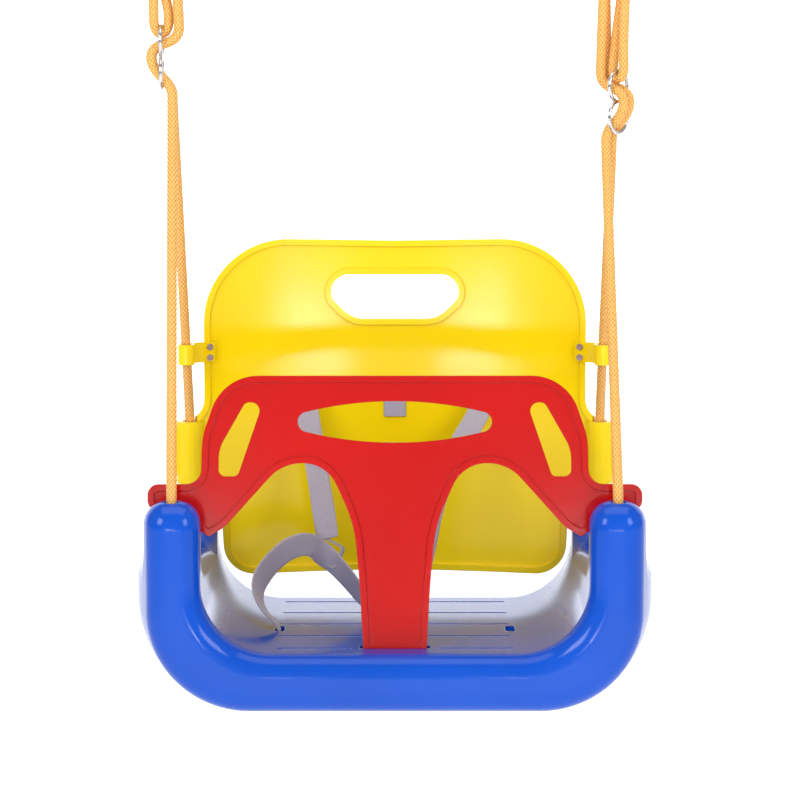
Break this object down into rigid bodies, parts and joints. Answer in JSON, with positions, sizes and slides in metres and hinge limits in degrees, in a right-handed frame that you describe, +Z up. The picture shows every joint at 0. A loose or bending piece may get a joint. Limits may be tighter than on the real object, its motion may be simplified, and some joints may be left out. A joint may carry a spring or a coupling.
{
  "type": "swing set",
  "caption": "Hanging toddler swing: moulded bucket seat with a back, a lift-out T guard, a belt and adjustable ropes that hang from rings.",
  "frame": {"origin": "under the middle of the seat, at the height of its base", "axes": "+X to the right as seen from in front, +Y towards the back of the seat, +Z up"},
  "size_m": [0.436, 0.288, 0.668],
  "materials": {
    "blue_plastic": "gloss",
    "yellow_plastic": "gloss",
    "red_plastic": "gloss",
    "grey_plastic": "satin",
    "orange_rope": "braided",
    "grey_webbing": "woven",
    "chrome": "polished",
    "steel": "plated"
  },
  "bodies": {
    "root": {"left_hanging_ring": "chrome", "right_hanging_ring": "chrome"},
    "swing": {"seat": "blue_plastic", "backrest": "yellow_plastic", "left_rope_tab": "yellow_plastic", "right_rope_tab": "yellow_plastic", "tab_rivets": "steel", "left_rope": "orange_rope", "right_rope": "orange_rope", "rope_knots": "orange_rope", "rope_washers": "steel", "left_adjuster": "chrome", "right_adjuster": "chrome", "left_shoulder_strap": "grey_webbing", "right_shoulder_strap": "grey_webbing", "left_lap_strap": "grey_webbing", "tongue_strap": "grey_webbing", "back_strap_end": "grey_webbing", "strap_anchors": "steel", "strap_slider": "grey_plastic", "buckle_socket": "grey_plastic", "buckle_tongue": "grey_plastic"},
    "guard": {"guard": "red_plastic"},
    "release_button": {"release_button": "red_plastic"}
  },
  "joints": [
    {"name": "swing_pivot", "type": "hinge", "parent": "root", "child": "swing", "pos_m": [0, 0.02, 0.642], "axis": [1, 0, 0], "range_deg": [-45, 45]},
    {"name": "guard_lift", "type": "slide", "parent": "swing", "child": "guard", "axis": [0, 0.0785, 0.9969], "range_m": [0, 0.036]},
    {"name": "button_press", "type": "slide", "parent": "swing", "child": "release_button", "axis": [0, 1, 0], "range_m": [0, 0.0012], "stiffness_N_per_m": 300}
  ]
}
